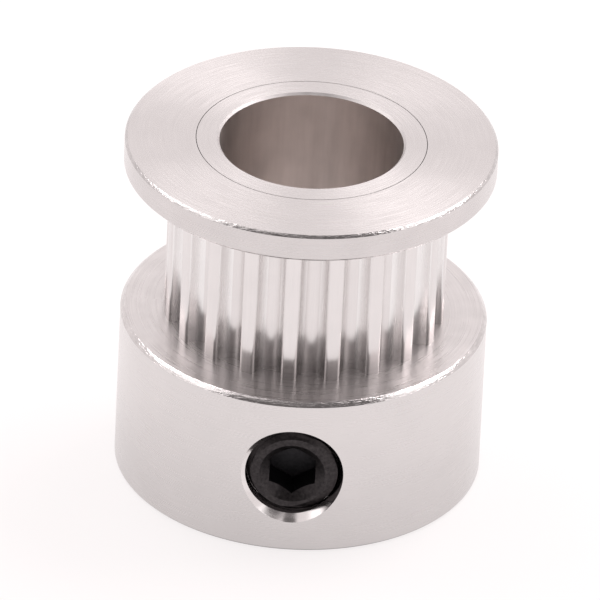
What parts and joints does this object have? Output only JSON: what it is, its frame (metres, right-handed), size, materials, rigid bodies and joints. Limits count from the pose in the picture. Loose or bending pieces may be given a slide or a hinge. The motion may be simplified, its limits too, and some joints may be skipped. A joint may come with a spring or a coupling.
{
  "type": "timing belt pulley",
  "caption": "Toothed belt pulley with a clamping hub, a round bore, a pressed-on end flange and radial set screws.",
  "frame": {"origin": "centre of the bore at the hub's end face, the face the pulley stands on", "axes": "+Z along the bore axis from the hub towards the end flange; -Y out of the front set screw's hole; +X to the right of that"},
  "size_m": [0.0162, 0.0162, 0.016],
  "materials": {
    "machined_aluminium": "bright turned and hobbed, uncoated",
    "flange_aluminium": "face turned with fine concentric marks, uncoated",
    "black_oxide_steel": "black oxide, slightly oily satin"
  },
  "bodies": {
    "pulley": {"pulley_body": "machined_aluminium", "end_flange": "flange_aluminium"},
    "front_screw": {"set_screw_front": "black_oxide_steel"},
    "rear_screw": {"set_screw_rear": "black_oxide_steel"}
  },
  "joints": [
    {"name": "front_screw_travel", "type": "slide", "parent": "pulley", "child": "front_screw", "axis": [0, -1, 0], "range_m": [-0.0007, 0.0021]},
    {"name": "rear_screw_travel", "type": "slide", "parent": "pulley", "child": "rear_screw", "axis": [0.866, 0.5, 0], "range_m": [-0.0007, 0.0021]}
  ]
}
